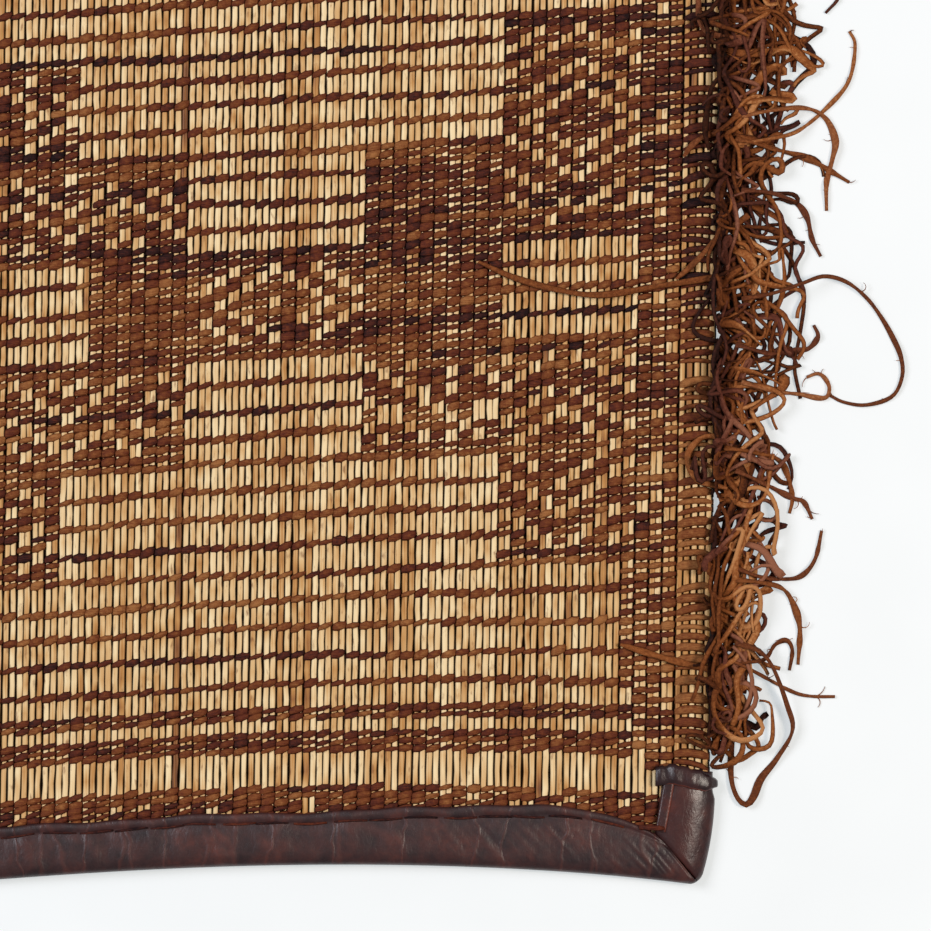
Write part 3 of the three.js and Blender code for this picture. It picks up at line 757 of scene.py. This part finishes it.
def binding_leather():
    """Goatskin dyed dark chocolate and rubbed with wax: a soft sheen over a fine pebbled grain, worn
    redder on its creases and cut edges, with nearly black patches."""
    finish = bpy.data.materials.new("waxed_dark_goatskin")
    finish.use_nodes = True
    tree = finish.node_tree
    hide = tree.nodes["Principled BSDF"]
    place = add_node(tree, "TexCoord").outputs["Object"]
    worn = add_node(tree, "Attribute", attribute_name="worn").outputs["Fac"]
    puckered = add_node(tree, "Attribute", attribute_name="puckered").outputs["Fac"]
    mottle = {"Vector": place, "Scale": 1 / (11 * MM), "Detail": 6, "Roughness": 0.65}
    patch = add_node(tree, "TexNoise", mottle).outputs["Fac"]
    colour = add_node(tree, "ValToRGB", {0: patch}, stops=[
        (0.3, "#1a0e11"), (0.45, "#2f191a"), (0.57, "#3d1f1d"), (0.72, "#552820"),
    ]).outputs["Color"]
    sway = add_node(tree, "TexNoise", {"Vector": place, "Scale": 1 / (12 * MM), "Detail": 2})
    moved = {0: sway.outputs["Color"], 1: (8 * MM, 8 * MM, 8 * MM), 2: place}
    bent = add_node(tree, "VectorMath", moved, operation="MULTIPLY_ADD").outputs[0]
    narrow = {"Vector": bent, "Scale": (1 / (17 * MM), 1 / (80 * MM), 1 / (80 * MM))}
    across = add_node(tree, "Mapping", narrow).outputs["Vector"]
    cells = add_node(tree, "TexVoronoi", {"Vector": across, "Scale": 1}, feature="DISTANCE_TO_EDGE")
    edge = {"Value": cells.outputs["Distance"], "From Max": 0.04, "To Min": 1, "To Max": 0}
    line = add_node(tree, "MapRange", edge, interpolation_type="SMOOTHSTEP").outputs["Result"]
    crease = add_node(tree, "Math", {0: line, 1: puckered}, operation="MULTIPLY").outputs[0]
    faded = add_node(tree, "Math", {0: crease, 1: 0.12, 2: worn}, operation="MULTIPLY_ADD").outputs[0]
    raw = linear("#8a4636")
    rubbing_and_painted_light = add_node(tree, "Mix", {0: faded, 6: colour, 7: raw}, data_type="RGBA").outputs[2]
    tree.links.new(rubbing_and_painted_light, hide.inputs["Base Color"])
    pebble = {"Vector": place, "Scale": 1 / (0.9 * MM)}
    grain = add_node(tree, "TexVoronoi", pebble, feature="SMOOTH_F1").outputs["Distance"]
    drawn = {"Vector": bent, "Scale": (1 / (2.2 * MM), 1 / (8 * MM), 1 / (8 * MM))}
    pulled = add_node(tree, "Mapping", drawn).outputs["Vector"]
    wrinkle = {"Vector": pulled, "Scale": 1, "Detail": 5, "Roughness": 0.6}
    fine = add_node(tree, "TexNoise", wrinkle).outputs["Fac"]
    first = add_node(tree, "Bump", {"Height": fine, "Strength": 0.45, "Distance": 0.5 * MM})
    second = {"Height": crease, "Strength": 0.3, "Distance": 0.3 * MM, "Normal": first.outputs["Normal"]}
    ridged = add_node(tree, "Bump", second).outputs["Normal"]
    third = {"Height": grain, "Strength": 0.3, "Distance": 0.12 * MM, "Normal": ridged}
    tree.links.new(add_node(tree, "Bump", third).outputs["Normal"], hide.inputs["Normal"])
    dull = {"Value": fine, "From Min": 0.3, "From Max": 0.7, "To Min": 0.26, "To Max": 0.36}
    waxed = add_node(tree, "MapRange", dull).outputs["Result"]
    handled = {0: puckered, 1: 0.12, 2: waxed}
    soft = add_node(tree, "Math", handled, operation="MULTIPLY_ADD").outputs[0]
    tree.links.new(soft, hide.inputs["Roughness"])
    hide.inputs["Specular IOR Level"].default_value = 0.55
    return finish


def creases(rng, u, depth):
    """The height of the puckers across the strip, in millimetres."""
    height = np.zeros_like(u)
    place = -HALF_WIDTH
    while place < HALF_WIDTH:
        place += rng.uniform(3.5, 9)
        tilt = rng.normal(0, 0.35)
        size = rng.uniform(0.12, 0.45) * rng.choice([-1, 1])
        breadth = rng.uniform(0.7, 2.2)
        top, bottom = sorted(rng.uniform(0, 14, 2))
        reach = ramp(depth, top - 3, top) * (1 - ramp(depth, bottom + 2, bottom + 6))
        height += size * reach * np.exp(-((u - place - tilt * (depth - 7)) / breadth) ** 2)
    return height


dark_leather = binding_leather()
strip_bar = drawn_out(STRIP_SECTION, STRIP_RINGS)
strip_unit = points_of(strip_bar)
bindings = []
for end, sign, seed in (("bottom", 1, 51), ("top", -1, 52)):
    rng = np.random.default_rng(seed)
    depth, z = strip_unit[:, 0], strip_unit[:, 2]
    share = strip_unit[:, 1] / (STRIP_RINGS - 1)
    along = np.sin(math.pi * (share - 0.5) * 0.9) / math.sin(0.45 * math.pi)
    inner = ramp(depth, 6, 11) * (z > EDGE_TOP - 0.1)
    depth = depth + inner * flap_reach(along)
    gap = 0.01 + 0.4 * ramp(z, 4, 5) * (1 - ramp(depth, 7, 11))
    half = HALF_WIDTH - depth * CORNER_DEPTH / END_DEPTH - gap
    u = half * along
    upper = ramp(z, EDGE_TOP, EDGE_TOP + 0.9)
    mitred = ramp(half - np.abs(u), 0, 1.5)
    z = z + upper * (creases(rng, u, depth) - 0.5 * (1 - mitred))
    places = laid(sign * u, sign * (depth - HALF_LENGTH), z)
    worn = 0.12 * ramp(z, 6.9, 7.3)
    binding = joined(f"end_strip_{end}", strip_bar, places[None], dark_leather, worn=worn, puckered=[1])
    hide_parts(f"binding_{end}")
    bindings.append(binding)


# Corners. A second piece of the same goatskin folded loosely round each side at the corner and mitred
# into the end strip. Its inner edge is covered by a hem strip, and its top by a cuff drawn round it.
CORNER_LENGTH = 37
CORNER_RINGS = 40
CORNER_SECTION = [
    (20.8, 0), (12, 0), (2.4, 0), (0.9, 0.5), (0.2, 1.5), (0, 2.7), (0.6, 3.7), (1.8, 4.7), (3.4, 5.6),
    (5, 6.3), (7, 6.9), (9, 7.2), (12, 7.2), (16, 6.8), (20, 6.4), (20.8, 6.2), (20.8, 5.6), (12, 5.5),
    (6, 5.2), (3.4, 4.1), (1.7, 3.1), (1.4, 1.9), (2.6, 1), (12, 1), (20.8, 0.9),
]
HEM = 3.9
HEM_LEAN = 2.7
HEM_FOOT = 15.8  # from the mat's end
HEM_BASE = 6.1
HEM_THICK = 1.15
HEM_RINGS = 14
HEM_SECTION = [(-0.5, 0), (0.5, 0), (0.5, 0.7), (0.42, 1), (0.28, 1.05), (-0.3, 1), (-0.45, 0.8)]
CUFF = 6.3
CUFF_RINGS = 30
CUFF_SECTION = [(-0.5, 0), (-0.5, 0.6), (-0.42, 1), (-0.2, 1.15), (0.3, 1), (0.5, 0.5), (0.5, 0)]
CUFF_WAY = [
    (21, 6.1), (17, 6.5), (13, 6.9), (9, 6.95), (6, 6.4), (3.4, 5.4), (1.2, 4), (0.2, 2.6), (0.6, 1.2),
]


def corner_piece(name, shape, places, worn, corner):
    piece = joined(name, shape, places[None], dark_leather, worn=worn, puckered=[0.15])
    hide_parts(corner)
    return piece


corner_bar = drawn_out(CORNER_SECTION, CORNER_RINGS)
corner_unit = points_of(corner_bar)
hem_bar = drawn_out(HEM_SECTION, HEM_RINGS)
hem_unit = points_of(hem_bar)
cuff_bar = drawn_out(CUFF_SECTION, CUFF_RINGS)
cuff_unit = points_of(cuff_bar)
corners = []
for name, turn, flip, seed in (
    ("right_bottom", 1, 1, 55),
    ("left_bottom", 1, -1, 56),
    ("left_top", -1, 1, 57),
    ("right_top", -1, -1, 58),
):
    rng = np.random.default_rng(seed)
    depth, z = corner_unit[:, 0], corner_unit[:, 2]
    share = corner_unit[:, 1] / (CORNER_RINGS - 1)
    gap = 0.01 + 0.3 * ramp(z, 4, 5) * (1 - ramp(depth, 9, 15))
    mitre = depth * END_DEPTH / CORNER_DEPTH + gap
    v = mitre + share * (CORNER_LENGTH - 1 - mitre)
    upper = ramp(z, 3.4, 6.4)
    neck = ramp(v, CORNER_LENGTH - CUFF - 3.5, CORNER_LENGTH - CUFF)
    z = z - upper * (0.8 * (1 - ramp(v - mitre, 0, 1.6)) + 0.35 * neck)
    depth = depth - HEM_LEAN * share * ramp(depth, 14, 20.8) + 0.9 * neck * (1 - ramp(depth, 0, 4))
    places = laid(turn * flip * (HALF_WIDTH - depth), turn * (v - HALF_LENGTH), z)
    worn = 0.1 * ramp(corner_unit[:, 2], 6.6, 7.1)
    corners.append(corner_piece(f"corner_{name}_leather", corner_bar, places, worn, f"corner_{name}"))

    share = hem_unit[:, 1] / (HEM_RINGS - 1)
    depth = CORNER_DEPTH + 0.1 - HEM / 2 - HEM_LEAN * share - HEM * hem_unit[:, 0]
    v = HEM_FOOT + share * (CORNER_LENGTH - CUFF + 1.5 - HEM_FOOT)
    z = HEM_BASE + HEM_THICK * hem_unit[:, 2]
    places = laid(turn * flip * (HALF_WIDTH - depth), turn * (v - HALF_LENGTH), z)
    worn = 0.6 * ramp(hem_unit[:, 0], 0.3, 0.42)
    corners.append(corner_piece(f"corner_{name}_hem", hem_bar, places, worn, f"corner_{name}"))

    way = smooth_line(CUFF_WAY, CUFF_RINGS)
    ahead = np.gradient(way, axis=0)
    ahead /= np.linalg.norm(ahead, axis=1)[:, None]
    ring = np.rint(cuff_unit[:, 1]).astype(int)
    frayed = np.sin(1.1 * ring) + rng.normal(0, 0.5, CUFF_RINGS)[ring]
    ragged = np.where(cuff_unit[:, 0] > 0, 0.3, 0.1) * frayed
    thick = (1.2 + 0.2 * np.sin(0.9 * ring)) * cuff_unit[:, 2]
    depth = way[ring, 0] + ahead[ring, 1] * thick
    z = way[ring, 1] - ahead[ring, 0] * thick
    droop = 1.6 * (1 - ramp(way[ring, 0], 0, 16)) + 1.0 * ramp(way[ring, 0], 15, 21)
    v = CORNER_LENGTH - CUFF / 2 + 0.4 - droop + ragged
    v = v + CUFF * cuff_unit[:, 0] * (1 - 0.6 * ramp(ring, 19, 28))
    places = laid(turn * flip * (HALF_WIDTH - depth), turn * (v - HALF_LENGTH), np.maximum(z, 0.05))
    worn = 0.85 * (cuff_unit[:, 0] < -0.45) * (way[ring, 0] < 17)
    corners.append(corner_piece(f"corner_{name}_cuff", cuff_bar, places, worn, f"corner_{name}"))


# Sewing. A waxed thread of red-brown leather run in and out along each end strip, in stitches about
# as long as a finger is wide, lying in the groove that it pulls into the strip. Its end is knotted
# off over the foot of each hem.
SEWING_DEPTH = 11.5
SEWING_PITCH = 13
SEWING_LENGTH = 11.5
SEWING_RINGS = 7
SEWING_REACH = (-228, 222)  # where the first and the last stitch start
KNOT_AT = 231
KNOT_LENGTH = 9
KNOT_DEPTH = 16.6
thread_bar = drawn_out(STRAND_SECTION, SEWING_RINGS)
thread_unit = points_of(thread_bar)
sewing = []
for end, sign in (("bottom", 1), ("top", -1)):
    rng = np.random.default_rng(61)
    t = np.linspace(0, 1, SEWING_RINGS)
    threads = []
    start = SEWING_REACH[0]
    while start < SEWING_REACH[1]:
        u = start + SEWING_LENGTH * t
        reach = flap_reach(u / (HALF_WIDTH - CORNER_DEPTH))
        depth = SEWING_DEPTH + reach + 0.5 * rng.normal() * (t - 0.5)
        height = 6.15 + 0.5 * np.sin(math.pi * t)
        width = np.full(SEWING_RINGS, rng.uniform(0.7, 0.9))
        way = np.column_stack([u, depth - HALF_LENGTH])
        threads.append(strip_points(thread_unit, way, height, width, 0.7, 0.3 * t))
        start += SEWING_PITCH * rng.uniform(0.85, 1.15)
    for foot in (-1, 1):
        way = np.column_stack([foot * (KNOT_AT + KNOT_LENGTH * t), KNOT_DEPTH - HALF_LENGTH + 0.5 * t])
        height = 6.9 + 0.8 * np.sin(math.pi * t)
        threads.append(strip_points(thread_unit, way, height, np.full(SEWING_RINGS, 1.7), 0.9, 0.2 * t))
    threads = np.array(threads)
    places = laid(sign * threads[..., 0], sign * threads[..., 1], threads[..., 2])
    tones = rng.uniform(0.05, 0.4, len(threads))
    thread = joined(f"sewing_{end}", thread_bar, places, dyed_leather, tone=tones)
    sewing.append(thread)


# Floor. A sheet of white studio paper, wide enough to fill the picture. It is dull and very slightly
# uneven in its white, and it has a painted glow, a faint cool-white emission with no lamp behind it,
# which pales the shadows on it.
paper = bpy.data.materials.new("white_studio_paper")
paper.use_nodes = True
tree = paper.node_tree
surface = tree.nodes["Principled BSDF"]
place = add_node(tree, "TexCoord").outputs["Object"]
fleck = add_node(tree, "TexNoise", {"Vector": place, "Scale": 1 / (60 * MM), "Detail": 2}).outputs["Fac"]
whites = [(0.3, "#b7b6b5"), (0.7, "#bbbab9")]
white = add_node(tree, "ValToRGB", {0: fleck}, stops=whites).outputs["Color"]
tree.links.new(white, surface.inputs["Base Color"])
surface.inputs["Roughness"].default_value = 0.95
surface.inputs["Specular IOR Level"].default_value = 0.1
# Painted glow: the paper gives off light of its own, so the shadows on it stay pale; its base white is grey
# so that the glow and the lamps together make it white.
surface.inputs["Emission Color"].default_value = linear("#f3fcff")
surface.inputs["Emission Strength"].default_value = 0.5
FLOOR_HALF = 4  # metres
sheet = bmesh.new()
bmesh.ops.create_grid(sheet, x_segments=4, y_segments=4, size=FLOOR_HALF)
mesh = bpy.data.meshes.new("floor")
sheet.to_mesh(mesh)
mesh.materials.append(paper)
floor = bpy.data.objects.new("floor", mesh)
bpy.context.collection.objects.link(floor)

with_mat = [plain_rows, motif_rows, border_rows, below_rows, *selvedges["right"], *selvedges["left"]]
with_mat += [*fringes, *bindings, *corners, *sewing]


# Light. Two large soft boxes, the stronger one from the left and a smaller one from the right, so
# that both come across the stems, and white walls all round.
LIGHT_AIM = (0.15, -0.05, 0)  # metres
for name, place, power, size, colour in (
    ("key", (-1.3, 0.5, 1.5), 31.5, 1.0, "#f2f6ff"),
    ("side", (1.25, 0, 1.5), 18, 0.45, "#fff2e5"),
):
    lamp = bpy.data.lights.new(name, "AREA")
    lamp.color = linear(colour)[:3]
    lamp.energy = power
    lamp.size = size
    box = bpy.data.objects.new(name, lamp)
    box.location = place
    aim = np.array(LIGHT_AIM) - np.array(place)
    tip = math.acos(-aim[2] / np.linalg.norm(aim))
    box.rotation_euler = (tip, 0, math.atan2(aim[1], aim[0]) - math.pi / 2)
    bpy.context.collection.objects.link(box)
world = bpy.data.worlds.new("white_room")
world.use_nodes = True
world.node_tree.nodes["Background"].inputs["Color"].default_value = linear("#fbfcff")
world.node_tree.nodes["Background"].inputs["Strength"].default_value = 0.22
bpy.context.scene.world = world
bpy.context.scene.view_settings.view_transform = "Standard"


# Camera. Straight above the lower right quarter of the mat, far enough off to see no side of it,
# with the picture's frame cutting the mat at the left and at the top.
VIEW_WIDTH = 325.85
VIEW_MIDDLE = (167.5, -56.2)
VIEW_HEIGHT = 2000
VIEW_LEVEL = 3  # the view's width is measured on the stems
SENSOR_WIDTH = 36
lens = bpy.data.cameras.new("camera")
lens.sensor_width = SENSOR_WIDTH
lens.lens = SENSOR_WIDTH * (VIEW_HEIGHT - VIEW_LEVEL) / VIEW_WIDTH
camera = bpy.data.objects.new("camera", lens)
camera.location = (VIEW_MIDDLE[0] * MM, VIEW_MIDDLE[1] * MM, VIEW_HEIGHT * MM)
bpy.context.collection.objects.link(camera)
bpy.context.scene.camera = camera
